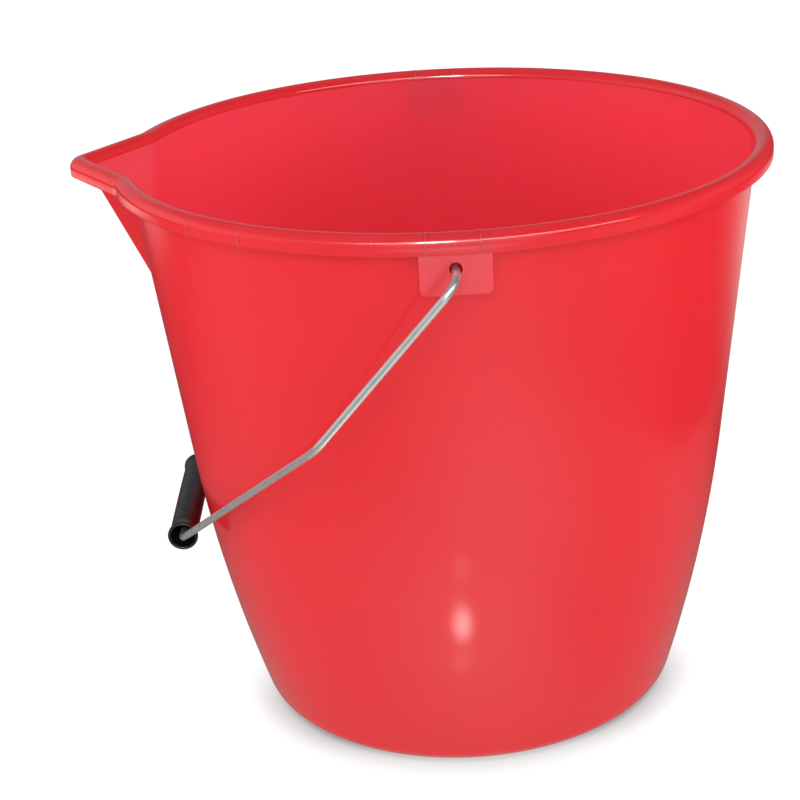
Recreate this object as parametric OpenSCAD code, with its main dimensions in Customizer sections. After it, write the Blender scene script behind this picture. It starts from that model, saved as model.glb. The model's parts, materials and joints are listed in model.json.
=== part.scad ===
// Round plastic wash bucket with a V-shaped pouring lip, two ears and a swinging
// wire bail that carries a loose tubular grip.
//
// Origin: centre of the underside, on the plane of the foot ring. +Z is up, the
// pouring lip points along -X, and the bail's pivot axis runs along Y.

/* [Bucket wall] */
// Height from the foot ring to the crest of the rim
height = 282; // [240:1:320]
// Radius of the crest line, the highest ring of the rim
crest_r = 150.6; // [140:0.1:160]
// Thickness of the wall, the rim and the lip
wall_t = 1.6; // [1.5:0.1:2.4]
// Inward lean of the straight upper wall, in degrees from vertical
wall_lean = 5.9; // [4:0.1:7]
// Height below which the wall starts to curve inwards
belly_h = 136; // [100:1:180]
// Radius of the inward curve of the lower wall
belly_r = 710; // [500:10:1200]
// Radius of the outer edge round the bottom
bottom_edge_r = 7.4; // [4:0.2:10]
// Thickness of the floor
floor_t = 2.4; // [2:0.1:4]
// Height of the floor's underside above the foot ring
foot_h = 2.6; // [1:0.1:5]
// Width of the foot ring
foot_w = 3; // [2:0.5:5]

/* [Rim] */
// Outer radius of the rolled rim's round top
bead_r = 4.7; // [4:0.1:5.4]
// Height of the rim from the crest down to the edge of its skirt
rim_h = 8.4; // [7:0.1:12]

/* [Pouring lip] */
// Distance from the bucket's axis to the sharp corner of the lip's crest lines
lip_reach = 172.5; // [165:0.1:185]
// Angle between each crest line of the lip and the lip's centre line
lip_half_angle = 56; // [48:0.1:58]
// Radius of the crest line round the lip's tip
tip_r = 6.5; // [6.5:0.1:9]
// Depth below the crest at which the keel of the lip meets the wall
lip_depth = 68; // [50:1:90]

/* [Ears] */
// Width of each ear
ear_w = 29.6; // [24:0.2:40]
// Depth of the ear's lower edge below the crest
ear_depth = 25.4; // [20:0.2:35]
// Thickness of the ear's plate and of its two side ribs
ear_t = 2.4; // [2:0.1:3.5]
// Distance from the bucket's axis to the outer face of the ear's plate
ear_face = 154.3; // [154:0.1:154.4]
// Radius of the ear's lower corners
ear_corner_r = 2.5; // [1:0.5:5]
// Depth of the bail's hole below the crest
hole_depth = 14.4; // [12:0.1:18]
// Radius of the bail's hole
hole_r = 2.7; // [2.3:0.1:3.2]

/* [Bail] */
// Radius of the bail's wire
wire_r = 1.75; // [1.5:0.05:2]
// Gap between the wire and the bottom of the ear's hole
wire_gap = 0.05; // [0.01:0.01:0.1]
// Angle below horizontal at which the bail hangs with its grip against the wall
hang = 50.2; // [45:0.1:55]
// Distance from the bucket's axis to the end of the wire inside the ear
stub_end = 148; // [147.5:0.1:150]
// Distance from the bucket's axis to the leg where it starts at the pivot
leg_top = 170; // [165:0.5:176]
// Distance along the bail from the pivot to the knee
knee_s = 97; // [80:0.1:105]
// Distance from the bail's middle plane to the knee
knee_y = 154.4; // [150:0.1:165]
// Distance along the bail from the pivot to the grip's axis
reach = 216.6; // [214:0.1:224]
// Distance from the bail's middle plane to the bend beside the grip
shoulder_y = 43.5; // [42:0.5:60]
// Centre-line radius of the bend beside the ear
ear_bend_r = 8; // [4:0.5:9]
// Centre-line radius of the knee
knee_bend_r = 20; // [15:1:70]
// Centre-line radius of the bend beside the grip
grip_bend_r = 7; // [5:0.5:10]

/* [Grip] */
// Length of the grip
grip_len = 84; // [76:1:84]
// Largest radius of the grip's body
grip_r = 6.75; // [6.2:0.05:7]
// Radius of the grip's body beside its mouths
grip_neck_r = 6.55; // [6:0.05:6.7]
// Outer radius of the grip's mouths
mouth_r = 7.4; // [7:0.1:7.8]
// Wall thickness at the mouths
mouth_t = 1.5; // [1.2:0.1:2]
// Depth of each flared mouth
mouth_depth = 14; // [8:1:20]
// Running gap between the wire and the grip's bore
bore_gap = 0.08; // [0.05:0.01:0.1]

/* [Hidden] */
red = "#e8383c";
zinc = "#b4b9b8";
black = "#1c2120";
round_fn = 180;
bead_fn = 48;
wire_fn = 32;

// Rim and wall
bead_z = height - bead_r;
// the lip's wall is this much thicker on each side than its rim, and the straights of
// the rim are as much thinner than its bends, so that each laps into the next
rim_step = 0.15;
rim_lap = 0.8;
leg_lap = 0.3;
wall_top_r = crest_r - bead_r + wall_t;
lean = tan(wall_lean);
belly_steps = 14;
corner_steps = 8;
tip_steps = 12;

// Pouring lip, seen from above: sin and cos of its half angle
lip_s = sin(lip_half_angle);
lip_c = cos(lip_half_angle);
// centre of the tip's round, and length of each side from there to the round rim and into it
tip_x = -lip_reach + tip_r / lip_s;
lip_side_end = 8;
// thickness of the lip's wall along X, where its pyramid starts inside the bucket, and how
// far the pyramid's point lies below the place where the keel meets the wall
lip_wall = 2.1;
lip_back = 100;
keel_overrun = 12;
lip_side_len = lip_reach * lip_c - tip_r * lip_c / lip_s
    - sqrt(pow(crest_r, 2) - pow(lip_reach * lip_s, 2)) + lip_side_end;

// Ears: how far they reach up into the rim's round top
ear_lap = 0.6;

// Bail: its bends are a little thicker than its straights, which lap into them
bend_swell = 0.02;
bend_lap = 0.3;
pivot_z = height - hole_depth - (hole_r - wire_r - wire_gap);

// Grip: the mouth's outer edge is bevelled over edge_w by edge_h, below that comes a short
// rim, and the body starts at neck_run from the end
edge_w = 0.4;
edge_h = 0.5;
mouth_rim = 2;
mouth_taper = 0.1;
neck_run = 8;
body_steps = 8;

// Points along an arc round [x, y], from angle a0 to a1
function arc(x, y, r, a0, a1, steps) =
    [for (i = [0:steps]) let (a = a0 + (a1 - a0) * i / steps) [x + r * cos(a), y + r * sin(a)]];

// Outer radius of the wall at height z, before the bottom edge is rounded
function wall_r(z) =
    wall_top_r - lean * (bead_z - z) - pow(max(belly_h - z, 0), 2) / (2 * belly_r);

// Rounded edge of radius r between a floor at height z0 and the wall moved inwards by t
function corner_points(t, z0, r) =
    [for (i = [0:corner_steps]) let (a = 90 * i / corner_steps - 90, z = z0 + r + r * sin(a))
        [wall_r(z) - t - r + r * cos(a), z]];

// Wall outline above that edge, up to the rim
function wall_points(t, z_low) = concat(
    [for (i = [1:belly_steps]) let (z = z_low + (belly_h - z_low) * i / belly_steps) [wall_r(z) - t, z]],
    [[wall_r(bead_z) - t, bead_z]]
);

// Outline of the space inside the bucket, which reaches past the wall's top by extra
module cavity_outline(extra) {
    floor_z = foot_h + floor_t;
    inner_edge_r = bottom_edge_r - wall_t;
    polygon(concat(
        [[0, floor_z]],
        corner_points(wall_t, floor_z, inner_edge_r),
        wall_points(wall_t, floor_z + inner_edge_r),
        [[wall_r(bead_z) - wall_t, bead_z + extra], [0, bead_z + extra]]
    ));
}

module wall_outline() {
    foot_r = wall_r(0) - bottom_edge_r;
    difference() {
        polygon(concat(
            [[0, foot_h], [foot_r - foot_w, foot_h], [foot_r - foot_w, 0]],
            corner_points(0, 0, bottom_edge_r),
            wall_points(0, bottom_edge_r),
            [[0, bead_z]]
        ));
        cavity_outline(1);
    }
}

// The space inside the bucket as a solid, reaching up past the rim
module cavity() {
    rotate_extrude($fn = round_fn) cavity_outline(2 * bead_r);
}

// Cross-section of the rolled rim. x = 0 is the crest line, y = 0 is the bead's centre.
// inset makes it thinner on each side. Its inner leg reaches down by lap into the wall.
module rim_section(inset, lap) {
    skirt_h = rim_h - bead_r - inset;
    thick = wall_t - 2 * inset;
    outer_r = bead_r - inset;
    difference() {
        circle(r = outer_r, $fn = bead_fn);
        circle(r = outer_r - thick, $fn = bead_fn);
        translate([-2 * bead_r, -2 * bead_r]) square([4 * bead_r, 2 * bead_r]);
    }
    translate([outer_r - thick, -skirt_h]) square([thick, skirt_h]);
    if (lap > 0) translate([-outer_r, -lap]) square([thick, lap]);
}

// One straight side of the lip's rim, from the tip into the round rim
module rim_side() {
    translate([tip_x, 0, bead_z]) rotate([0, 0, 90 + lip_half_angle])
        translate([tip_r, 0, 0]) rotate([90, 0, 0]) translate([0, 0, -rim_lap])
            linear_extrude(lip_side_len + rim_lap) rim_section(rim_step, leg_lap);
}

// The lip's rim: two straight sides and the round between them
module lip_rim() {
    translate([tip_x, 0, bead_z]) rotate([0, 0, 90 + lip_half_angle])
        rotate_extrude(angle = 180 - 2 * lip_half_angle, $fn = round_fn)
            translate([tip_r, 0]) rim_section(0, leg_lap);
    rim_side();
    mirror([0, 1, 0]) rim_side();
}

// Space swept by the lip: a pyramid that hangs point down from a V at the rim.
// inset is the distance of its faces inside the crest lines.
module lip_pyramid(inset, keel_inset, top_extra) {
    low_z = height - lip_depth;
    // the keel's straight line, from the rim down past the wall to the pyramid's point
    keel_top = lip_reach - inset / lip_s;
    keel_low = wall_r(low_z) - keel_inset;
    keel_run = (keel_top - keel_low) / (bead_z - low_z);
    point_z = low_z - keel_overrun;
    point_x = keel_low - keel_overrun * keel_run;
    back_y = (keel_top - lip_back) * lip_s / lip_c;
    r = tip_r - inset;
    tip = arc(tip_x, 0, r, 90 + lip_half_angle, 270 - lip_half_angle, tip_steps);
    base = concat([[-lip_back, back_y]], tip, [[-lip_back, -back_y]]);
    n = len(base);
    polyhedron(
        points = concat([for (p = base) [p[0], p[1], bead_z]], [[-point_x, 0, point_z]]),
        faces = concat([[for (i = [n - 1:-1:0]) i]], [for (i = [0:n - 1]) [i, (i + 1) % n, n]])
    );
    if (top_extra > 0)
        translate([0, 0, bead_z]) linear_extrude(top_extra) polygon(base);
}

// One ear, on the -Y side: a plate below the rim's skirt, tied to the wall by two ribs.
// Its pocket is open at the bottom.
module ear() {
    top_z = bead_z + ear_lap;
    low_z = height - ear_depth;
    depth = ear_face - crest_r + 2.5 * bead_r;
    half = ear_w / 2;
    c = ear_corner_r;
    difference() {
        translate([0, -ear_face + depth, 0]) rotate([90, 0, 0]) linear_extrude(depth)
            polygon(concat(
                [[half, top_z], [-half, top_z]],
                arc(-half + c, low_z + c, c, 180, 270, corner_steps),
                arc(half - c, low_z + c, c, 270, 360, corner_steps)
            ));
        translate([-half + ear_t, -ear_face + ear_t, low_z - 1])
            cube([ear_w - 2 * ear_t, depth, ear_depth + 2]);
        cavity();
        translate([0, -ear_face - 1, height - hole_depth]) rotate([-90, 0, 0])
            cylinder(r = hole_r, h = ear_t + 2, $fn = wire_fn * 2);
    }
}

module bucket() color(red) {
    difference() {
        union() {
            rotate_extrude($fn = round_fn) {
                wall_outline();
                translate([crest_r, bead_z]) rim_section(0, 0);
            }
            difference() {
                lip_pyramid(bead_r - wall_t - rim_step, 0, 0);
                cavity();
            }
        }
        lip_pyramid(bead_r + rim_step, lip_wall, 2 * bead_r);
    }
    difference() {
        lip_rim();
        cavity();
    }
    ear();
    mirror([0, 1, 0]) ear();
}

// Corners of the wire's centre line in the bail's own plane, from one end to the middle
half_corners = [[0, -stub_end], [0, -leg_top], [-knee_s, -knee_y], [-reach, -shoulder_y]];
wire_corners = concat(half_corners, [for (i = [3:-1:0]) [half_corners[i][0], -half_corners[i][1]]]);
wire_bends = [0, ear_bend_r, knee_bend_r, grip_bend_r, grip_bend_r, knee_bend_r, ear_bend_r, 0];

function heading(i) = let (d = wire_corners[i + 1] - wire_corners[i]) atan2(d[1], d[0]);
function wrap(a) = a > 180 ? a - 360 : (a < -180 ? a + 360 : a);
function turn(i) = wrap(heading(i) - heading(i - 1));
// length of the straight that the bend at corner i takes up on each side
function trim(i) = wire_bends[i] > 0 ? wire_bends[i] * tan(abs(turn(i)) / 2) : 0;

function lap(i) = wire_bends[i] > 0 ? bend_lap : 0;

module wire_straight(i) {
    run = norm(wire_corners[i + 1] - wire_corners[i]);
    from = trim(i) - lap(i);
    to = run - trim(i + 1) + lap(i + 1);
    translate(wire_corners[i]) rotate([0, 0, heading(i)]) translate([from, 0, 0])
        rotate([0, 90, 0]) cylinder(r = wire_r, h = to - from, $fn = wire_fn);
}

module wire_bend(i) {
    side = sign(turn(i));
    translate(wire_corners[i]) rotate([0, 0, heading(i - 1)])
        translate([-trim(i), side * wire_bends[i], 0]) rotate([0, 0, min(turn(i), 0) - side * 90])
            rotate_extrude(angle = abs(turn(i)), $fn = round_fn)
                translate([wire_bends[i], 0]) circle(r = wire_r + bend_swell, $fn = wire_fn);
}

module bail() color(zinc) {
    last = len(wire_corners) - 1;
    translate([0, 0, pivot_z]) rotate([0, -hang, 0]) {
        for (i = [0:last - 1]) wire_straight(i);
        for (i = [1:last - 1]) wire_bend(i);
    }
}

// One flared end of the grip, side 1 or -1, from its open mouth to the body
function mouth(side) = let (half = grip_len / 2) [
    [mouth_r - mouth_t, side * half],
    [mouth_r - edge_w, side * half],
    [mouth_r, side * (half - edge_h)],
    [mouth_r - mouth_taper, side * (half - mouth_rim)]
];

module grip() color(black) {
    half = grip_len / 2;
    bore_r = wire_r + bore_gap;
    upper = mouth(1);
    translate([0, 0, pivot_z]) rotate([0, -hang, 0]) translate([-reach, 0, 0])
        rotate([90, 0, 0]) rotate_extrude($fn = wire_fn * 2) polygon(concat(
            [[bore_r, half - mouth_depth], [bore_r, -half + mouth_depth]],
            mouth(-1),
            [for (i = [0:body_steps]) let (a = 180 * i / body_steps)
                [grip_neck_r + (grip_r - grip_neck_r) * sin(a), (neck_run - half) * cos(a)]],
            [for (i = [len(upper) - 1:-1:0]) upper[i]]
        ));
}

bucket();
bail();
grip();
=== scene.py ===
"""Wash bucket: a moulded red bucket with a pouring lip, a wire bail and a loose black grip.

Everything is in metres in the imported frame: +Z up, the lip towards -X, and the bail's
pivot axis along Y. Sizes are written in millimetres and multiplied by MM.
"""

import json
import math

import bpy
from mathutils import Matrix, Vector


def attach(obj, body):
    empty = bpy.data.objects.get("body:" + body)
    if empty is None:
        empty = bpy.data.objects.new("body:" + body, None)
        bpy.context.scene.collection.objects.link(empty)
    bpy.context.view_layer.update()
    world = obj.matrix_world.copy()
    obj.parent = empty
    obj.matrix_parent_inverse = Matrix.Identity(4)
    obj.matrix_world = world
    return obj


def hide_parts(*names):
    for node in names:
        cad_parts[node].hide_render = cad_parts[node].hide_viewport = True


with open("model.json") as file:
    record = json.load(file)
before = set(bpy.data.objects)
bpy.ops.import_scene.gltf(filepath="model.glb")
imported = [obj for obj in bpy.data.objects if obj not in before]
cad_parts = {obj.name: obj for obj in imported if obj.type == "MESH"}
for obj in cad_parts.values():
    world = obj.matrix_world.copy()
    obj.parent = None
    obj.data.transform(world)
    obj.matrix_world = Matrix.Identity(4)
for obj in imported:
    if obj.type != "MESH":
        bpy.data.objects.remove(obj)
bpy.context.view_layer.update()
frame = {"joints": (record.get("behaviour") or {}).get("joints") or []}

MM = 0.001

# ---------------------------------------------------------------- sizes, in mm
# the bucket; BEAD is the rounded top of the rim, and the skirt hangs from it
HEIGHT = 282.0
CREST_R = 150.6  # the highest ring of the rim
WALL_T = 1.6
BEAD_R = 4.7
BEAD_Z = HEIGHT - BEAD_R
SKIRT_Z = HEIGHT - 8.4
WALL_TOP_R = CREST_R - BEAD_R + WALL_T
WALL_LEAN = math.tan(math.radians(5.9))
BELLY_H = 136.0  # below this height the wall curves inwards
BELLY_R = 710.0
EDGE_R = 7.4  # the wall's rounded lower edge
FOOT_H = 2.6
FOOT_W = 3.0
FLOOR_Z = 5.0
RECESS_R = 1.2  # where the foot ring meets the underside
SMALL_R = 0.5  # the foot ring's inner edge and the skirt's lower edge
LEVEL_END = 4.0  # the level middles of floor and underside end this far from their round edges

LIP_REACH = 172.5  # to the sharp corner of the lip's two crest lines
LIP_HALF = math.radians(56)
LIP_TIP_R = 6.5
LIP_BLEND_R = 14.0
LIP_LOW_Z = HEIGHT - 68.0

EAR_W = 29.6
EAR_LOW_Z = HEIGHT - 25.4
EAR_TOP_Z = BEAD_Z + 0.6  # inside the bead
EAR_T = 2.4
EAR_FACE = 154.3
EAR_ROOT = 146.0  # the ribs end inside the wall, this far from the middle
EAR_ROOT_LEAN = 2.2  # and their lower ends this much nearer, because the wall leans
EAR_CORNER_R = 2.5
EAR_EDGE_R = 0.35
HOLE_Z = HEIGHT - 14.4
HOLE_R = 2.7

MARK_W = 0.6
MARK_PROUD = 0.2
MARK_ROOT = 0.4  # how deep a mould mark starts inside the rim

# the bail
WIRE_R = 1.75
WIRE_CHAMFER = 0.4
SWING = next(joint for joint in frame["joints"] if joint["name"] == "bail_swing")
PIVOT_Z = SWING["pos_m"][2] / MM
HANG = math.radians(50.2)  # the bail hangs this far below horizontal
STUB_END = 148.0
LEG_TOP = 170.0
KNEE = (97.0, 154.4)  # along the bail from its pivot, and from its middle plane
SHOULDER = (216.6, 43.5)
EAR_BEND_R = 8.0
KNEE_BEND_R = 20.0
SHOULDER_BEND_R = 7.0

# the grip
GRIP_LEN = 84.0
GRIP_R = 6.75
NECK_R = 6.55
NECK_IN = 7.5  # from each end to the neck behind the mouth's flare
MOUTH_R = 7.4
MOUTH_T = 1.5
MOUTH_DEPTH = 14.0
BORE_R = 1.83

# how finely the round shapes are drawn
COLUMNS = 288
COLUMN_CROWD = 0.8  # how strongly the bucket's columns gather at the lip
ROW = 3.5
GRIP_COLUMNS = 64
HAIR = 0.01  # nearer than this counts as touching


# ---------------------------------------------------------------- modelling
def all_clear():
    """Leaves edit mode and selects nothing, so that the next operator acts on its own piece."""
    if bpy.context.object and bpy.context.object.mode != "OBJECT":
        bpy.ops.object.mode_set(mode="OBJECT")
    bpy.ops.object.select_all(action="DESELECT")


def pick_up(piece):
    """Makes one piece the only selected one."""
    all_clear()
    bpy.context.view_layer.objects.active = piece
    piece.select_set(True)


def edit_all(piece):
    """Opens one piece in edit mode with all of it selected."""
    pick_up(piece)
    bpy.ops.object.mode_set(mode="EDIT")
    bpy.ops.mesh.select_all(action="SELECT")


def edit_where(piece, kind, wanted):
    """Opens one piece in edit mode with only its wanted vertices (VERT) or edges (EDGE) selected."""
    edit_all(piece)
    bpy.ops.mesh.select_mode(type=kind)
    bpy.ops.mesh.select_all(action="DESELECT")
    bpy.ops.object.mode_set(mode="OBJECT")
    for part in piece.data.vertices if kind == "VERT" else piece.data.edges:
        part.select = wanted(part)
    bpy.ops.object.mode_set(mode="EDIT")


def faces_outwards():
    """Points the selected faces of the open piece outwards, and leaves edit mode."""
    bpy.ops.mesh.normals_make_consistent(inside=False)
    bpy.ops.object.mode_set(mode="OBJECT")


def close_up():
    """Welds the seam and the poles of the open piece, and points its faces outwards."""
    bpy.ops.mesh.select_all(action="SELECT")
    bpy.ops.mesh.remove_doubles(threshold=0.001 * MM)
    faces_outwards()


def set_place():
    """Moves the active piece's place and turn into its mesh."""
    bpy.ops.object.transform_apply(location=True, rotation=True, scale=True)


def drawn(name, outline):
    """A line through (radius, height) points in the XZ plane, selected in edit mode."""
    all_clear()
    # a small circle closed up is the first point
    bpy.ops.mesh.primitive_circle_add(vertices=3, radius=MM, location=(0, 0, 0))
    piece = bpy.context.object
    piece.name = piece.data.name = name
    bpy.ops.object.mode_set(mode="EDIT")
    bpy.ops.mesh.select_all(action="SELECT")
    bpy.ops.mesh.merge(type="CENTER")
    r, z = outline[0]
    bpy.ops.transform.translate(value=(r * MM, 0, z * MM))
    for (r0, z0), (r1, z1) in zip(outline, outline[1:]):
        step = ((r1 - r0) * MM, 0, (z1 - z0) * MM)
        bpy.ops.mesh.extrude_vertices_move(TRANSFORM_OT_translate={"value": step})
    bpy.ops.mesh.select_all(action="SELECT")
    return piece


def turned(name, outline, columns):
    """Draws an outline and spins it once round the Z axis."""
    piece = drawn(name, outline)
    bpy.ops.mesh.spin(steps=columns, angle=math.tau, center=(0, 0, 0), axis=(0, 0, 1))
    close_up()
    return piece


def arc(cx, cz, r, start, end, steps):
    """Points along an arc, from the angle start to end in degrees, ends included."""
    turns = (math.radians(start + (end - start) * i / steps) for i in range(steps + 1))
    return [(cx + r * math.cos(a), cz + r * math.sin(a)) for a in turns]


def apply_modifier(piece, kind, **settings):
    """Adds one modifier to a piece and applies it."""
    modifier = piece.modifiers.new(kind.title(), kind)
    for key, value in settings.items():
        setattr(modifier, key, value)
    pick_up(piece)
    bpy.ops.object.modifier_apply(modifier=modifier.name)


def block(name, low, high):
    """A box between two corners, in mm, with its place in its mesh."""
    all_clear()
    size = [(b - a) * MM for a, b in zip(low, high)]
    middle = [(a + b) / 2 * MM for a, b in zip(low, high)]
    bpy.ops.mesh.primitive_cube_add(size=1, location=middle, scale=size)
    piece = bpy.context.object
    piece.name = piece.data.name = name
    set_place()
    return piece


def cut(piece, tool):
    """Cuts the shape of tool out of piece and throws tool away."""
    apply_modifier(piece, "BOOLEAN", operation="DIFFERENCE", object=tool, solver="EXACT")
    bpy.data.objects.remove(tool)


def smooth_by_angle(piece, degrees):
    """Shades a piece smooth, apart from the edges that are sharper than an angle."""
    pick_up(piece)
    bpy.ops.object.shade_smooth_by_angle(angle=math.radians(degrees))


# ---------------------------------------------------------------- the bucket's shape
def wall_r(z):
    """Outer radius of the wall at height z, before the bottom edge is rounded."""
    return WALL_TOP_R - WALL_LEAN * (BEAD_Z - z) - max(BELLY_H - z, 0.0) ** 2 / (2 * BELLY_R)


def wall_skin(inset, low, edge):
    """One skin of the wall, from its rounded edge on the floor at height low up to the rim."""
    points = []
    for i in range(9):
        a = math.radians(90 * i / 8 - 90)
        z = low + edge + edge * math.sin(a)
        points.append((wall_r(z) - inset - edge + edge * math.cos(a), z))
    rows = round((BEAD_Z - low - edge) / ROW)
    for i in range(1, rows + 1):
        z = low + edge + (BEAD_Z - low - edge) * i / rows
        points.append((wall_r(z) - inset, z))
    return points


def bucket_outline():
    """The bucket's whole cross-section, from the middle of its underside round to its floor."""
    recess = wall_r(0) - EDGE_R - FOOT_W
    outline = [(0, FOOT_H), (recess - LEVEL_END, FOOT_H)]
    outline += arc(recess - RECESS_R, FOOT_H - RECESS_R, RECESS_R, 90, 0, 4)
    outline += arc(recess + SMALL_R, SMALL_R, SMALL_R, 180, 270, 4)
    outline += wall_skin(0, 0, EDGE_R)
    hollow_r = BEAD_R - WALL_T
    outline += arc(CREST_R, BEAD_Z, hollow_r, 180, 0, 10)[1:]
    outline += arc(CREST_R + hollow_r + SMALL_R, SKIRT_Z + SMALL_R, SMALL_R, 180, 270, 4)
    outline += arc(CREST_R + BEAD_R - SMALL_R, SKIRT_Z + SMALL_R, SMALL_R, 270, 360, 4)
    outline += arc(CREST_R, BEAD_Z, BEAD_R, 0, 180, 24)
    inner = wall_skin(WALL_T, FLOOR_Z, EDGE_R - WALL_T)
    outline += inner[-2::-1]
    outline += [(inner[0][0] - LEVEL_END, FLOOR_Z), (0, FLOOR_Z)]
    return outline


def lip_radius(az, circle, side, tip, blend):
    """How far the outline reaches from the axis at azimuth az from the lip's middle.

    circle is the round part's radius, side how far the lip's straight sides pass from the
    axis, tip the round between them and blend the hollow where a side meets the round part.
    """
    least_blend = 0.2  # a smaller hollow is left out
    sin_h, cos_h = math.sin(LIP_HALF), math.cos(LIP_HALF)
    centre = (side - tip) / sin_h
    if side / sin_h <= circle:
        return circle
    most = centre * cos_h  # a side runs this far, from the foot of the axis to the tip's round
    room = (most**2 + side**2 - circle**2) / (2 * (circle - side))
    blend = min(blend, room)
    if az < math.atan2(tip * cos_h, centre + tip * sin_h) or blend < least_blend:
        under = tip**2 - (centre * math.sin(az)) ** 2
        return max(circle, centre * math.cos(az) + math.sqrt(max(under, 0)))
    along = math.sqrt((circle + blend) ** 2 - (side + blend) ** 2)
    start = math.atan2(cos_h * side - sin_h * along, sin_h * side + cos_h * along)
    bx = sin_h * (side + blend) + cos_h * along
    by = cos_h * (side + blend) - sin_h * along
    end = math.atan2(by, bx)
    if az < start:
        return side / math.sin(LIP_HALF + az)
    if az < end:
        reach = math.hypot(bx, by)
        return reach * math.cos(az - end) - math.sqrt(blend**2 - (reach * math.sin(az - end)) ** 2)
    return circle


def pull_lip(piece):
    """Crowds the columns of a turned bucket towards -X and pulls the lip out of them."""
    sin_h = math.sin(LIP_HALF)
    crest_side = LIP_REACH * sin_h
    top_corner = LIP_REACH - (BEAD_R - WALL_T) / sin_h
    low_corner = wall_r(LIP_LOW_Z)
    for vertex in piece.data.vertices:
        x, y, z = (c / MM for c in vertex.co)
        r = math.hypot(x, y)
        if r < HAIR:
            continue
        az = math.atan2(y, -x)
        az -= COLUMN_CROWD * math.sin(az)
        if z > LIP_LOW_Z - 2 and r > wall_r(z) - 3 * WALL_T:
            if z > BEAD_Z - HAIR or r > CREST_R - 1:  # the rim, set out from its crest line
                off = r - CREST_R
                r = lip_radius(abs(az), r, crest_side + off, LIP_TIP_R + off, LIP_BLEND_R - off)
            else:  # the wall, whose lip narrows down to the keel's lower end
                off = r - wall_r(z)
                share = (z - LIP_LOW_Z) / (BEAD_Z - LIP_LOW_Z)
                corner = low_corner + (top_corner - low_corner) * share
                tip = LIP_TIP_R - BEAD_R + WALL_T + off
                blend = LIP_BLEND_R + BEAD_R - WALL_T - off
                r = lip_radius(abs(az), r, corner * sin_h + off, tip, blend)
        vertex.co = (-r * math.cos(az) * MM, r * math.sin(az) * MM, z * MM)


def is_inside(face):
    """Whether a face belongs to the inside of the bucket, whose red is painted lighter and pinker to
    stand in for the hazy light that fills it.
    """
    x, y, z = face.center
    inwards = face.normal.x * x + face.normal.y * y < 0
    floor = face.normal.z > 0.5 and z < (FLOOR_Z + 2 * EDGE_R) * MM
    # how far from the axis the crest line of the rim is, towards this face
    side = LIP_REACH * math.sin(LIP_HALF)
    crest = lip_radius(abs(math.atan2(y, -x)), CREST_R, side, LIP_TIP_R, LIP_BLEND_R)
    between = FLOOR_Z - 1 < z / MM < BEAD_Z
    return between and (inwards or floor) and math.hypot(x, y) / MM < crest


def bucket_body():
    """The bucket's floor, wall, rolled rim and pouring lip, as one moulding."""
    piece = turned("bucket_body", bucket_outline(), COLUMNS)
    pull_lip(piece)
    piece.data.shade_smooth()
    piece.data.materials.append(outer_red)
    # the second slot is the inside's red, painted lighter and pinker as painted light
    piece.data.materials.append(inner_red_painted_lighter)
    for face in piece.data.polygons:
        face.material_index = 1 if is_inside(face) else 0
    return piece


def ear(name, far):
    """One ear: a plate under the skirt, two ribs to the wall, and the hole for the bail."""
    half = EAR_W / 2
    piece = block(name, (-half, -EAR_FACE, EAR_LOW_Z), (half, -EAR_ROOT, EAR_TOP_Z))

    def lower_root(vertex):
        return vertex.co.y > -(EAR_ROOT + EAR_T) * MM and vertex.co.z < HOLE_Z * MM

    def lower_corner(edge):
        a, b = (piece.data.vertices[i].co for i in edge.vertices)
        return max(a.z, b.z) < HOLE_Z * MM and abs(a.x - b.x) < MM

    edit_where(piece, "VERT", lower_root)
    bpy.ops.transform.translate(value=(0, EAR_ROOT_LEAN * MM, 0))
    edit_where(piece, "EDGE", lower_corner)
    bpy.ops.mesh.bevel(offset=EAR_CORNER_R * MM, segments=8)
    bpy.ops.mesh.select_mode(type="VERT")
    bpy.ops.object.mode_set(mode="OBJECT")
    # the pocket between the ribs runs out past the ear at its top, bottom and back
    inner = half - EAR_T
    low = (-inner, -EAR_FACE + EAR_T, EAR_LOW_Z - 5)
    cut(piece, block("pocket", low, (inner, -130, EAR_TOP_Z + 5)))
    all_clear()
    bpy.ops.mesh.primitive_cylinder_add(
        vertices=48,
        radius=HOLE_R * MM,
        depth=8 * MM,
        location=(0, -EAR_FACE * MM, HOLE_Z * MM),
        rotation=(math.pi / 2, 0, 0),
    )
    cut(piece, bpy.context.object)
    apply_modifier(
        piece,
        "BEVEL",
        width=EAR_EDGE_R * MM,
        segments=3,
        limit_method="ANGLE",
        angle_limit=math.radians(35),
    )
    if far:
        edit_all(piece)
        bpy.ops.transform.mirror(
            constraint_axis=(False, True, False), center_override=(0, 0, 0)
        )
        faces_outwards()
    smooth_by_angle(piece, 40)
    apply_modifier(piece, "WEIGHTED_NORMAL", weight=100, keep_sharp=True)
    return piece


def mould_mark(name, turn, top):
    """A fine raised line on the rim, at turn degrees, where two parts of the mould met.

    It runs from the skirt's lower edge over the bead, up to the angle top of the bead's round.
    """
    outside, root = BEAD_R + MARK_PROUD, BEAD_R - MARK_ROOT
    outline = arc(CREST_R, BEAD_Z, outside, top, 0, 22)
    outline += [(CREST_R + outside, SKIRT_Z), (CREST_R + root, SKIRT_Z)]
    outline += arc(CREST_R, BEAD_Z, root, 0, top, 22)
    piece = drawn(name, outline)
    bpy.ops.mesh.edge_face_add()
    sweep = {"value": (0, MARK_W * MM, 0)}
    bpy.ops.mesh.extrude_region_move(TRANSFORM_OT_translate=sweep)
    close_up()
    piece.rotation_euler.z = math.radians(turn)
    set_place()
    smooth_by_angle(piece, 40)
    return piece


# ---------------------------------------------------------------- the bail and the grip
def wire_straight(direction, length):
    """Draws the selected end of the wire straight on, in mm."""
    step = {"value": tuple(c * length * MM for c in direction)}
    bpy.ops.mesh.extrude_region_move(TRANSFORM_OT_translate=step)


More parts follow.
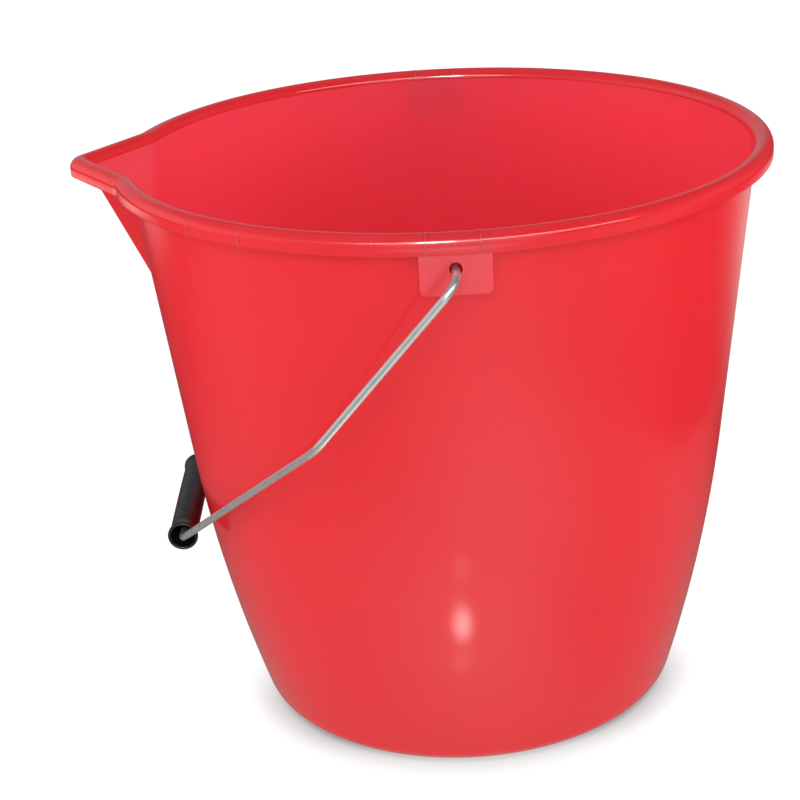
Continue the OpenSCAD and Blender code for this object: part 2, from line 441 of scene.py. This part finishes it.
def wire_run(corners, bends):
    """Draws the selected end of the wire through its corners, with a bend's radius for each."""
    at = corners[0]
    heading = (corners[1] - at).normalized()
    for i in range(1, len(corners) - 1):
        corner = corners[i]
        after = (corners[i + 1] - corner).normalized()
        turn = heading.cross(after).z
        angle = heading.angle(after)
        trim = bends[i] * math.tan(angle / 2)
        wire_straight(heading, (corner - heading * trim - at).length)
        side = Vector((-heading.y, heading.x, 0)) * math.copysign(1, turn)
        centre = corner - heading * trim + side * bends[i]
        bpy.ops.mesh.spin(
            steps=max(6, round(math.degrees(angle) / 6)),
            angle=-math.copysign(angle, turn),
            center=centre * MM,
            axis=(0, 0, 1),
        )
        at = corner + after * trim
        heading = after
    wire_straight(heading, (corners[-1] - at).length)


def bail():
    """Half the wire, drawn in the bail's own plane from its end in the ear, then mirrored."""
    all_clear()
    bpy.ops.mesh.primitive_circle_add(
        vertices=24,
        radius=WIRE_R * MM,
        location=(0, -STUB_END * MM, 0),
        rotation=(math.pi / 2, 0, 0),
    )
    piece = bpy.context.object
    piece.name = piece.data.name = "bail_wire"
    set_place()
    edit_all(piece)
    places = ((0, STUB_END), (0, LEG_TOP), KNEE, SHOULDER, (SHOULDER[0], 0))
    corners = [Vector((-x, -y, 0)) for x, y in places]
    wire_run(corners, (0, EAR_BEND_R, KNEE_BEND_R, SHOULDER_BEND_R, 0))

    def cut_end(vertex):
        at_end = abs(vertex.co.y + STUB_END * MM) < HAIR * MM
        return at_end and abs(vertex.co.x) < 2 * WIRE_R * MM

    # the cut end in the ear is closed and chamfered
    edit_where(piece, "VERT", cut_end)
    bpy.ops.mesh.edge_face_add()
    bpy.ops.mesh.inset(thickness=WIRE_CHAMFER * MM)
    bpy.ops.transform.translate(value=(0, WIRE_CHAMFER * MM, 0))
    bpy.ops.object.mode_set(mode="OBJECT")
    apply_modifier(
        piece, "MIRROR", use_axis=(False, True, False), use_clip=True, merge_threshold=HAIR * MM
    )
    edit_all(piece)
    faces_outwards()
    hang_in_place(piece)
    smooth_by_angle(piece, 35)
    return piece


def hang_in_place(piece):
    """Turns a piece drawn in the bail's own plane to the angle at which the bail hangs."""
    piece.data.transform(
        Matrix.Translation((0, 0, PIVOT_Z * MM)) @ Matrix.Rotation(-HANG, 4, "Y")
    )


def grip():
    """The loose tube on the wire: a slightly bellied body with two flared open mouths."""
    half = GRIP_LEN / 2
    mouth_in = MOUTH_R - MOUTH_T
    one_end = [
        (BORE_R, half - MOUTH_DEPTH),
        (BORE_R + 1.2, half - MOUTH_DEPTH + 1.0),
        (mouth_in - 0.9, half - 6),
        (mouth_in - 0.15, half - 1.5),
        (mouth_in, half - 0.4),
        (mouth_in + 0.3, half - 0.08),
        (mouth_in + 0.7, half),
        (MOUTH_R - 0.5, half - 0.05),
        (MOUTH_R - 0.15, half - 0.35),
        (MOUTH_R, half - 0.9),
        (MOUTH_R - 0.05, half - 1.8),
        (MOUTH_R - 0.35, half - 3.6),
        (NECK_R + 0.12, half - 5.6),
        (NECK_R, half - NECK_IN),
    ]
    belly = []
    for i in range(1, 12):
        a = math.pi * i / 12
        swell = (GRIP_R - NECK_R) * math.sin(a)
        belly.append((NECK_R + swell, (half - NECK_IN) * math.cos(a)))
    outline = one_end + belly + [(r, -z) for r, z in reversed(one_end)]
    outline.append(outline[0])
    piece = turned("grip_tube", outline, GRIP_COLUMNS)
    piece.data.transform(
        Matrix.Translation((-SHOULDER[0] * MM, 0, 0)) @ Matrix.Rotation(math.pi / 2, 4, "X")
    )
    hang_in_place(piece)
    piece.data.shade_smooth()
    return piece


# ---------------------------------------------------------------- materials
def srgb(code):
    """A hex colour as linear red, green, blue and 1."""
    parts = [int(code[i : i + 2], 16) / 255 for i in (1, 3, 5)]
    return [c / 12.92 if c <= 0.04045 else ((c + 0.055) / 1.055) ** 2.4 for c in parts] + [1]


def node(tree, kind, settings=None, *feeds, **links):
    """Adds one node. settings are its properties and socket values, feeds are the sockets or
    numbers for its inputs in their order, and links feed its inputs by name."""
    made = tree.nodes.new(kind)
    for key, value in (settings or {}).items():
        if key in made.inputs:
            made.inputs[key].default_value = value
        else:
            setattr(made, key, value)
    for place, value in enumerate(feeds):
        if isinstance(value, float):
            made.inputs[place].default_value = value
        else:
            tree.links.new(value, made.inputs[place])
    for key, source in links.items():
        tree.links.new(source, made.inputs[key.replace("_", " ")])
    return made


def spread(start, end):
    """Map Range settings that spread the values between the two of start over those of end."""
    return {"From Min": start[0], "From Max": start[1], "To Min": end[0], "To Max": end[1]}


def soft_step(start, end):
    """As spread, but level at both ends."""
    return {"interpolation_type": "SMOOTHSTEP", **spread(start, end)}


def per_metre(size):
    """The scale of a pattern whose marks are size mm across."""
    return 1 / (size * MM)


NOISE_MIDDLE = (0.3, 0.7)  # most of a noise's values lie between these


def new_material(name):
    """A material with an empty tree, and its output node."""
    material = bpy.data.materials.new(name)
    material.use_nodes = True
    material.node_tree.nodes.clear()
    return material, material.node_tree, material.node_tree.nodes.new("ShaderNodeOutputMaterial")


def moulded_red_polypropylene(name, light, deep, gloss=(0.14, 0.18)):
    """Injection-moulded polypropylene: thin enough to glow, with a smooth gloss and sink waves."""
    material, tree, output = new_material(name)
    place = node(tree, "ShaderNodeTexCoord").outputs["Object"]
    # flow marks: broad and faint, about 60 mm across
    flow = node(
        tree, "ShaderNodeTexNoise", {"Scale": per_metre(62.5), "Detail": 3.0}, Vector=place
    )
    tone = node(
        tree,
        "ShaderNodeMix",
        {"data_type": "RGBA", "A": srgb(deep), "B": srgb(light)},
        Factor=flow.outputs["Fac"],
    )
    # polish left by the mould: rougher and smoother patches of about 8 mm
    polish = node(
        tree, "ShaderNodeTexNoise", {"Scale": per_metre(8.333), "Detail": 2.0}, Vector=place
    )
    rough = node(
        tree, "ShaderNodeMapRange", spread(NOISE_MIDDLE, gloss), Value=polish.outputs["Fac"]
    )
    # sink waves of about 30 mm, a few hundredths of a millimetre deep
    waves = node(
        tree, "ShaderNodeTexNoise", {"Scale": per_metre(30.3), "Detail": 1.0}, Vector=place
    )
    sink = node(
        tree,
        "ShaderNodeBump",
        {"Strength": 0.25, "Distance": 0.6 * MM},
        Height=waves.outputs["Fac"],
    )
    shader = node(
        tree,
        "ShaderNodeBsdfPrincipled",
        {
            "IOR": 1.49,
            "Subsurface Weight": 0.5,
            "Subsurface Scale": 6 * MM,
            "Subsurface Radius": (1.0, 0.2, 0.15),
            "Coat Weight": 0.25,
            "Coat Roughness": 0.06,
            "Coat IOR": 1.49,
        },
        Base_Color=tone.outputs["Result"],
        Roughness=rough.outputs["Result"],
        Normal=sink.outputs["Normal"],
    )
    tree.links.new(shader.outputs["BSDF"], output.inputs["Surface"])
    return material


def galvanised_wire():
    """Hard-drawn steel wire with a zinc coat: dull grey metal with a fine uneven bloom."""
    material, tree, output = new_material("galvanised_steel_wire")
    place = node(tree, "ShaderNodeTexCoord").outputs["Object"]
    # the zinc's own crystals are about 1 mm across; they are drawn at 5 mm so that they show
    bloom = node(
        tree, "ShaderNodeTexNoise", {"Scale": per_metre(5), "Detail": 2.0}, Vector=place
    )
    tone = node(
        tree,
        "ShaderNodeMix",
        {"data_type": "RGBA", "A": srgb("#d5dbd8"), "B": srgb("#e4e8e4")},
        Factor=bloom.outputs["Fac"],
    )
    rough = node(
        tree, "ShaderNodeMapRange", spread(NOISE_MIDDLE, (0.24, 0.36)), Value=bloom.outputs["Fac"]
    )
    pits = node(
        tree,
        "ShaderNodeBump",
        {"Strength": 0.06, "Distance": 0.1 * MM},
        Height=bloom.outputs["Fac"],
    )
    shader = node(
        tree,
        "ShaderNodeBsdfPrincipled",
        {"Metallic": 0.85},
        Base_Color=tone.outputs["Result"],
        Roughness=rough.outputs["Result"],
        Normal=pits.outputs["Normal"],
    )
    tree.links.new(shader.outputs["BSDF"], output.inputs["Surface"])
    return material


def black_polyethylene():
    """Moulded black polyethylene: a satin skin with a little bloom and a fine grain."""
    material, tree, output = new_material("satin_black_polyethylene")
    place = node(tree, "ShaderNodeTexCoord").outputs["Object"]
    # the bloom of handling: greyer, duller patches about as wide as a fingertip
    bloom = node(
        tree, "ShaderNodeTexNoise", {"Scale": per_metre(11.11), "Detail": 4.0}, Vector=place
    )
    tone = node(
        tree,
        "ShaderNodeMix",
        {"data_type": "RGBA", "A": srgb("#08100c"), "B": srgb("#142018")},
        Factor=bloom.outputs["Fac"],
    )
    rough = node(
        tree, "ShaderNodeMapRange", spread(NOISE_MIDDLE, (0.28, 0.4)), Value=bloom.outputs["Fac"]
    )
    # the grain of the mould, about 1 mm
    grain = node(
        tree, "ShaderNodeTexNoise", {"Scale": per_metre(1.111), "Detail": 2.0}, Vector=place
    )
    skin = node(
        tree,
        "ShaderNodeBump",
        {"Strength": 0.2, "Distance": 0.2 * MM},
        Height=grain.outputs["Fac"],
    )
    shader = node(
        tree,
        "ShaderNodeBsdfPrincipled",
        {"IOR": 1.51},
        Base_Color=tone.outputs["Result"],
        Roughness=rough.outputs["Result"],
        Normal=skin.outputs["Normal"],
    )
    tree.links.new(shader.outputs["BSDF"], output.inputs["Surface"])
    return material


def finish_piece(piece, material, body, slot, *nodes):
    """Gives a piece its material, unless it has one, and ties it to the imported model."""
    if not piece.data.materials:
        piece.data.materials.append(material)
    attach(piece, body)
    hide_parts(*nodes)


# ---------------------------------------------------------------- stage
# the floor as gloss mirrors it: soft pools of light, by middle, reach and peak, in metres
FLOOR_GLOW = (
    ((0.06, -0.30), (0.30, 0.20), 0.6),
    ((0.10, -0.50), (0.35, 0.25), 0.35),
    ((-0.10, -0.20), (0.20, 0.15), 0.2),
    ((0.01, -0.17), (0.13, 0.13), 0.4),
    ((0.03, -0.68), (0.25, 0.14), 0.8),
    ((0.03, -1.02), (0.55, 0.34), 2.1),
)
FLOOR_HOT_SPOTS = (
    ((0.50, 0.65), (0.60, 0.50), 0.5),
    ((-0.90, 0.60), (0.45, 0.45), 1.0),
    ((-0.010, -0.205), (0.018, 0.022), 8.0),
    ((-0.009, -0.266), (0.018, 0.020), 1.2),
    ((-0.010, -0.172), (0.020, 0.012), 0.8),
)
FLOOR_DIM = 0.3  # between the pools of light
FLOOR_WHITE = "#f9f9f9"
SHADOW_REACH = 0.03

# the surround's brightness as matt surfaces see it, and as gloss mirrors it
ROOM = 0.86
ROOM_MIRRORED = 0.7

# the camera
EYE = (-0.01466, -0.82807, 0.49181)
TURN, TILT, ROLL = -0.0331, 0.4312, -0.0458
LENS = 79.79
SHIFT = (-0.1051, 0.0799)


def floor_seen(tree, across):
    """What the eye sees of the floor: white, with a narrow grey shadow where the foot shuts
    the light out, fainter in front and gone behind."""
    shut = node(tree, "ShaderNodeAmbientOcclusion", {"Distance": SHADOW_REACH, "samples": 32})
    step = soft_step((0.05, 0.86), (0.22, 1.0))
    open_sky = node(tree, "ShaderNodeMapRange", step, Value=shut.outputs["AO"]).outputs[0]
    step = soft_step((-0.108, -0.07), (0.45, 0.0))
    lit_front = node(tree, "ShaderNodeMapRange", step, Value=across["Y"]).outputs[0]
    step = soft_step((-0.05, 0.02), (0.0, 0.9))
    lit_back = node(tree, "ShaderNodeMapRange", step, Value=across["Y"]).outputs[0]
    lit = node(tree, "ShaderNodeMath", {"operation": "ADD"}, lit_front, lit_back).outputs[0]
    paper = node(
        tree, "ShaderNodeMix", {"data_type": "FLOAT", "B": 1.0}, Factor=lit, A=open_sky
    ).outputs["Result"]
    faint = node(tree, "ShaderNodeBsdfDiffuse", {"Color": srgb("#616161")}).outputs[0]
    bright = node(tree, "ShaderNodeEmission", Strength=paper).outputs[0]
    return node(tree, "ShaderNodeAddShader", {}, faint, bright).outputs[0]


def glow_patch(tree, place, middle, reach, peak):
    """A soft oval of light on the floor: peak in the middle, nothing past its reach."""
    local = node(
        tree,
        "ShaderNodeMapping",
        {"vector_type": "TEXTURE", "Location": (*middle, 0), "Scale": (*reach, 1)},
        Vector=place,
    ).outputs[0]
    away = node(tree, "ShaderNodeVectorMath", {"operation": "LENGTH"}, local).outputs["Value"]
    return node(
        tree, "ShaderNodeMapRange", soft_step((0.0, 1.0), (peak, 0.0)), Value=away
    ).outputs[0]


def floor_mirrored(tree, place, across):
    """What gloss mirrors of the floor: lit in front, dim behind and dark on the right."""
    light = FLOOR_DIM
    for patch in FLOOR_GLOW:
        glow = glow_patch(tree, place, *patch)
        light = node(tree, "ShaderNodeMath", {"operation": "ADD"}, light, glow).outputs[0]
    step = soft_step((-0.12, 0.25), (1.0, 0.1))
    forward = node(tree, "ShaderNodeMapRange", step, Value=across["Y"]).outputs[0]
    step = soft_step((0.34, 0.37), (0.0, 0.92))
    right = node(tree, "ShaderNodeMapRange", step, Value=across["X"]).outputs[0]
    step = soft_step((-0.42, 0.0), (0.0, 1.0))
    beside = node(tree, "ShaderNodeMapRange", step, Value=across["Y"]).outputs[0]
    dark = node(tree, "ShaderNodeMath", {"operation": "MULTIPLY"}, right, beside).outputs[0]
    left_over = node(tree, "ShaderNodeMath", {"operation": "SUBTRACT"}, 1.0, dark).outputs[0]
    for share in (forward, left_over):
        light = node(tree, "ShaderNodeMath", {"operation": "MULTIPLY"}, light, share).outputs[0]
    for patch in FLOOR_HOT_SPOTS:
        glow = glow_patch(tree, place, *patch)
        light = node(tree, "ShaderNodeMath", {"operation": "ADD"}, light, glow).outputs[0]
    white = node(tree, "ShaderNodeEmission", {"Color": srgb("#fffaf6")}, Strength=light)
    # behind and beside the bucket the floor is red with the light that the wall throws on it
    step = soft_step((0.0, 0.16), (0.0, 0.2))
    blush = node(tree, "ShaderNodeMapRange", step, Value=across["Y"]).outputs[0]
    red = node(tree, "ShaderNodeEmission", {"Color": srgb("#ff5961")}, Strength=blush)
    return node(tree, "ShaderNodeAddShader", {}, white.outputs[0], red.outputs[0]).outputs[0]


def pale_floor():
    """A wide white floor. To matt surfaces it is plain white card, which lights the bucket
    from below; the eye and the gloss of the bucket each have their own view of it."""
    all_clear()
    bpy.ops.mesh.primitive_plane_add(size=12, location=(0, 0, 0))
    floor = bpy.context.object
    floor.name = "studio_floor"
    material, tree, output = new_material("white_studio_floor")
    paths = node(tree, "ShaderNodeLightPath").outputs
    place = node(tree, "ShaderNodeTexCoord").outputs["Object"]
    across = node(tree, "ShaderNodeSeparateXYZ", Vector=place).outputs
    surface = node(tree, "ShaderNodeBsdfDiffuse", {"Color": srgb(FLOOR_WHITE)}).outputs[0]
    for ray, view in (
        (paths["Is Camera Ray"], floor_seen(tree, across)),
        (paths["Is Glossy Ray"], floor_mirrored(tree, place, across)),
    ):
        surface = node(tree, "ShaderNodeMixShader", {}, ray, surface, view).outputs[0]
    tree.links.new(surface, output.inputs["Surface"])
    floor.data.materials.append(material)


def white_room():
    """An even cool surround: full white where the camera sees it. In reflections it is
    bright on the left, dim overhead, on the right and behind, and dark at the viewer's end."""
    world = bpy.data.worlds.new("white_room")
    bpy.context.scene.world = world
    world.use_nodes = True
    tree = world.node_tree
    tree.nodes.clear()
    output = tree.nodes.new("ShaderNodeOutputWorld")
    paths = node(tree, "ShaderNodeLightPath").outputs
    aim = node(tree, "ShaderNodeTexCoord").outputs["Generated"]
    way = node(tree, "ShaderNodeSeparateXYZ", Vector=aim).outputs
    share = {}
    for part, axis, start, end in (
        ("front", "Y", (-0.8, -0.35), (1.0, 0.0)),
        ("low", "Z", (0.12, 0.32), (0.75, 0.0)),
        ("overhead", "Z", (0.35, 0.65), (1.0, 0.4)),
        ("right", "X", (0.1, 0.5), (1.0, 0.2)),
        ("behind", "Y", (0.35, 0.75), (1.0, 0.5)),
        ("ceiling", "Z", (0.3, 0.9), (ROOM, 0.55 * ROOM)),
    ):
        step = node(tree, "ShaderNodeMapRange", soft_step(start, end), Value=way[axis])
        share[part] = step.outputs[0]
    dark_end = node(
        tree, "ShaderNodeMath", {"operation": "MULTIPLY"}, share["front"], share["low"]
    ).outputs[0]
    light_end = node(tree, "ShaderNodeMath", {"operation": "SUBTRACT"}, 1.0, dark_end).outputs[0]
    mirrored = ROOM_MIRRORED
    for part in (light_end, share["overhead"], share["right"], share["behind"]):
        mirrored = node(
            tree, "ShaderNodeMath", {"operation": "MULTIPLY"}, mirrored, part
        ).outputs[0]
    seen = node(
        tree,
        "ShaderNodeMix",
        {"data_type": "FLOAT", "B": 1.0},
        Factor=paths["Is Camera Ray"],
        A=share["ceiling"],
    ).outputs["Result"]
    strength = node(
        tree,
        "ShaderNodeMix",
        {"data_type": "FLOAT"},
        Factor=paths["Is Glossy Ray"],
        A=seen,
        B=mirrored,
    )
    tint = node(
        tree,
        "ShaderNodeMix",
        {"data_type": "RGBA", "A": srgb("#f3f9ff"), "B": srgb("#ffffff")},
        Factor=paths["Is Camera Ray"],
    )
    back = node(
        tree,
        "ShaderNodeBackground",
        Strength=strength.outputs["Result"],
        Color=tint.outputs["Result"],
    )
    tree.links.new(back.outputs[0], output.inputs["Surface"])


def soft_lamp(name, place, aim, size, power, mirrored=True, lights=True):
    """A rectangular soft box that points at aim. Not mirrored means that no gloss shows it,
    and without lights it is only a glint."""
    lamp = bpy.data.lights.new(name, "AREA")
    lamp.shape = "RECTANGLE"
    lamp.size, lamp.size_y = size
    lamp.energy = power
    holder = bpy.data.objects.new(name, lamp)
    bpy.context.collection.objects.link(holder)
    holder.location = place
    holder.rotation_euler = (Vector(aim) - Vector(place)).to_track_quat("-Z", "Y").to_euler()
    holder.visible_glossy = mirrored
    holder.visible_diffuse = lights


def camera():
    """The viewing angle: about 0.9 m away, looking down 25 degrees, rolled a little.

    The shift is there because the bucket stands off the middle of the wider view.
    """
    eye = bpy.data.cameras.new("camera")
    eye.lens = LENS
    eye.sensor_width = 36
    eye.shift_x, eye.shift_y = SHIFT
    holder = bpy.data.objects.new("camera", eye)
    bpy.context.collection.objects.link(holder)
    holder.matrix_world = (
        Matrix.Translation(EYE)
        @ Matrix.Rotation(TURN, 4, "Z")
        @ Matrix.Rotation(math.pi / 2 - TILT, 4, "X")
        @ Matrix.Rotation(ROLL, 4, "Z")
    )
    bpy.context.scene.camera = holder


# ---------------------------------------------------------------- the bucket
outer_red = moulded_red_polypropylene("moulded_red_polypropylene", "#e82c33", "#e22830")
# painted light: the inside is a lighter, pinker copy of the red, standing in for the hazy light that
# fills it
inner_red_painted_lighter = moulded_red_polypropylene("red_polypropylene_inside_painted_lighter", "#fc4a59", "#f84453")
# the slides of the mould that form the ears are not polished
ear_red = moulded_red_polypropylene(
    "unpolished_red_polypropylene", "#ea3a44", "#e5353f", gloss=(0.34, 0.42)
)
zinc = galvanised_wire()
black = black_polyethylene()

finish_piece(bucket_body(), outer_red, "bucket", "red_plastic", "bucket")
finish_piece(ear("ear_near", False), ear_red, "bucket", "red_plastic", "bucket")
finish_piece(ear("ear_far", True), ear_red, "bucket", "red_plastic", "bucket")
# the long marks flank the ears, and the short ones cross the skirt beside the lip
for mark, turn, top in (
    ("near_left", -94.4, 165),
    ("near_right", -86.2, 165),
    ("far_left", 85.8, 165),
    ("far_right", 94.0, 165),
    ("short_left", -135.5, 15),
    ("short_right", -124.5, 15),
):
    ridge = mould_mark("mould_mark_" + mark, turn, top)
    finish_piece(ridge, ear_red, "bucket", "red_plastic", "bucket")
finish_piece(bail(), zinc, "bail", "zinc_wire", "bail")
finish_piece(grip(), black, "grip", "black_plastic", "grip")

pale_floor()
white_room()
soft_lamp("key", (-0.16, -1.25, 0.98), (0, 0, 0.2), (0.16, 0.34), 2.1)
soft_lamp("wide_strip", (0, -1.35, 1.0), (0, 0, 0.28), (2.0, 0.2), 3.3)
soft_lamp("rim_glint", (0.35, -1.2, 1.0), (0, 0, 0.28), (2.6, 0.16), 10.0, lights=False)
soft_lamp("ear_glint", (-0.1, -1.2, 0.93), (0, 0, 0.28), (0.24, 0.3), 5.0, lights=False)
soft_lamp("front_panel", (0.1, -1.5, 0.5), (0, 0, 0.28), (1.5, 0.7), 2.3)
soft_lamp("left_fill", (-1.4, 0.1, 0.5), (0, 0, 0.15), (0.8, 0.8), 7.4, mirrored=False)
soft_lamp("right_fill", (1.4, 0.1, 0.5), (0, 0, 0.15), (0.8, 0.8), 8.6, mirrored=False)
camera()
bpy.context.scene.view_settings.view_transform = "Standard"
